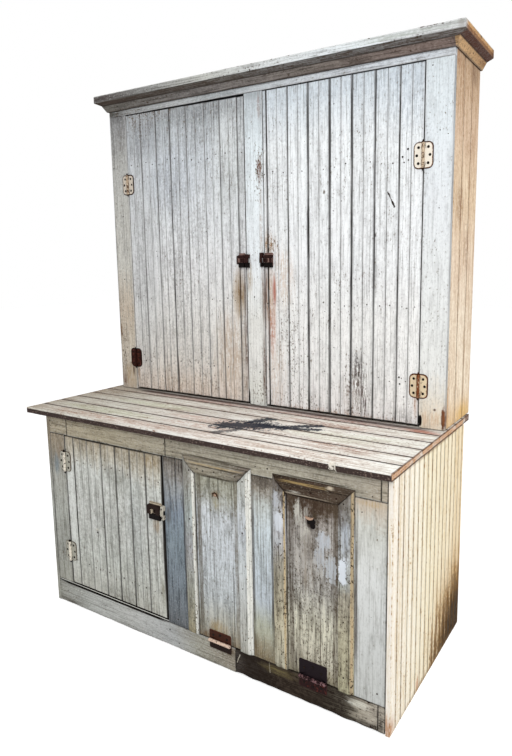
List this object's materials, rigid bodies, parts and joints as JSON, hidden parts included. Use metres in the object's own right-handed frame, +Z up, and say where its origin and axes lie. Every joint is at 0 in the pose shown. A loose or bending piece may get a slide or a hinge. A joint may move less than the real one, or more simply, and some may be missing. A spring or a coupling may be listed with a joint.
{
  "type": "step-back plank cupboard with tilt-out bins",
  "caption": "Step-back plank cupboard: tall doors over shelves above, and a plank worktop over a door and tilt-out bins below.",
  "frame": {"origin": "on the floor, under the middle of the whole cupboard's outline", "axes": "+X along the front from left to right as seen from the front, +Y from the front to the back, +Z up"},
  "size_m": [1.521, 0.727, 1.979],
  "materials": {
    "upper_paint": "weathered milk paint, pale bluish white turning cream and brown low down",
    "lower_paint": "weathered greyish green cream paint over old wood",
    "side_paint": "worn creamy yellow paint with brown rot at the foot",
    "tan_board": "bare weathered tan boards with traces of paint",
    "bin_paint": "thin pale grey-blue paint with bright worn arrises",
    "worn_bin_paint": "brown-grey weathered wood with patches of pale paint",
    "bare_wood": "rough unpainted softwood",
    "worktop_wood": "cream paint worn through to dark wood at edges and joints, with a soot stain",
    "cornice_wood": "grey-brown weathered moulding",
    "rusty_iron": "dark red-brown rust",
    "painted_iron": "old cream paint chipped to rust"
  },
  "bodies": {
    "cupboard_case": {"base_back": "bare_wood", "base_floor": "bare_wood", "base_left_side": "side_paint", "base_left_stile": "lower_paint", "base_right_side": "side_paint", "base_right_stile": "lower_paint", "bin_1_hinge_rail_leaf": "rusty_iron", "bin_2_hinge_rail_leaf": "rusty_iron", "bin_stile": "lower_paint", "bottom_rail": "lower_paint", "centre_stile": "upper_paint", "cornice": "cornice_wood", "cupboard_partition": "bare_wood", "cupboard_shelf": "bare_wood", "door_stile": "lower_paint", "frieze_rail": "upper_paint", "lower_door_bottom_hinge_frame_leaf": "painted_iron", "lower_door_top_hinge_frame_leaf": "painted_iron", "top_rail": "lower_paint", "upper_back": "bare_wood", "upper_left_door_bottom_hinge_frame_leaf": "painted_iron", "upper_left_door_top_hinge_frame_leaf": "painted_iron", "upper_left_side": "tan_board", "upper_left_stile": "upper_paint", "upper_right_door_bottom_hinge_frame_leaf": "painted_iron", "upper_right_door_top_hinge_frame_leaf": "painted_iron", "upper_right_side": "tan_board", "upper_right_stile": "upper_paint", "upper_shelf_1": "bare_wood", "upper_shelf_2": "bare_wood", "upper_shelf_3": "bare_wood", "upper_shelf_4": "bare_wood", "worktop": "worktop_wood"},
    "bin_1": {"bin_1_box": "bare_wood", "bin_1_front": "bin_paint", "bin_1_hinge_bin_leaf": "rusty_iron"},
    "bin_2": {"bin_2_box": "bare_wood", "bin_2_front": "worn_bin_paint", "bin_2_hinge_bin_leaf": "rusty_iron"},
    "lower_door": {"lower_door_boards": "lower_paint", "lower_door_bottom_batten": "bare_wood", "lower_door_bottom_hinge_door_leaf": "painted_iron", "lower_door_latch_case": "rusty_iron", "lower_door_top_batten": "bare_wood", "lower_door_top_hinge_door_leaf": "painted_iron"},
    "lower_bolt": {"lower_door_latch_bolt": "rusty_iron"},
    "upper_left_door": {"upper_left_door_boards": "upper_paint", "upper_left_door_bottom_batten": "bare_wood", "upper_left_door_bottom_hinge_door_leaf": "painted_iron", "upper_left_door_latch_case": "rusty_iron", "upper_left_door_top_batten": "bare_wood", "upper_left_door_top_hinge_door_leaf": "painted_iron"},
    "upper_left_bolt": {"upper_left_door_latch_bolt": "rusty_iron"},
    "upper_right_door": {"upper_right_door_boards": "upper_paint", "upper_right_door_bottom_batten": "bare_wood", "upper_right_door_bottom_hinge_door_leaf": "painted_iron", "upper_right_door_latch_case": "rusty_iron", "upper_right_door_top_batten": "bare_wood", "upper_right_door_top_hinge_door_leaf": "painted_iron"},
    "upper_right_bolt": {"upper_right_door_latch_bolt": "rusty_iron"}
  },
  "joints": [
    {"name": "upper_left_door_swing", "type": "hinge", "parent": "cupboard_case", "child": "upper_left_door", "pos_m": [-0.627, 0.0795, 1.3375], "axis": [0, 0, 1], "range_deg": [-170, 0]},
    {"name": "upper_right_door_swing", "type": "hinge", "parent": "cupboard_case", "child": "upper_right_door", "pos_m": [0.631, 0.0795, 1.3375], "axis": [0, 0, 1], "range_deg": [0, 170]},
    {"name": "lower_door_swing", "type": "hinge", "parent": "cupboard_case", "child": "lower_door", "pos_m": [-0.5785, -0.3475, 0.3865], "axis": [0, 0, 1], "range_deg": [-170, 0]},
    {"name": "bin_1_tilt", "type": "hinge", "parent": "cupboard_case", "child": "bin_1", "pos_m": [0.1345, -0.3475, 0.088], "axis": [1, 0, 0], "range_deg": [0, 38]},
    {"name": "bin_2_tilt", "type": "hinge", "parent": "cupboard_case", "child": "bin_2", "pos_m": [0.4795, -0.3475, 0.088], "axis": [1, 0, 0], "range_deg": [0, 38]},
    {"name": "upper_left_bolt_slide", "type": "slide", "parent": "upper_left_door", "child": "upper_left_bolt", "axis": [1, 0, 0], "range_m": [0, 0.014]},
    {"name": "upper_right_bolt_slide", "type": "slide", "parent": "upper_right_door", "child": "upper_right_bolt", "axis": [-1, 0, 0], "range_m": [0, 0.014]},
    {"name": "lower_bolt_slide", "type": "slide", "parent": "lower_door", "child": "lower_bolt", "axis": [1, 0, 0], "range_m": [0, 0.014]}
  ]
}
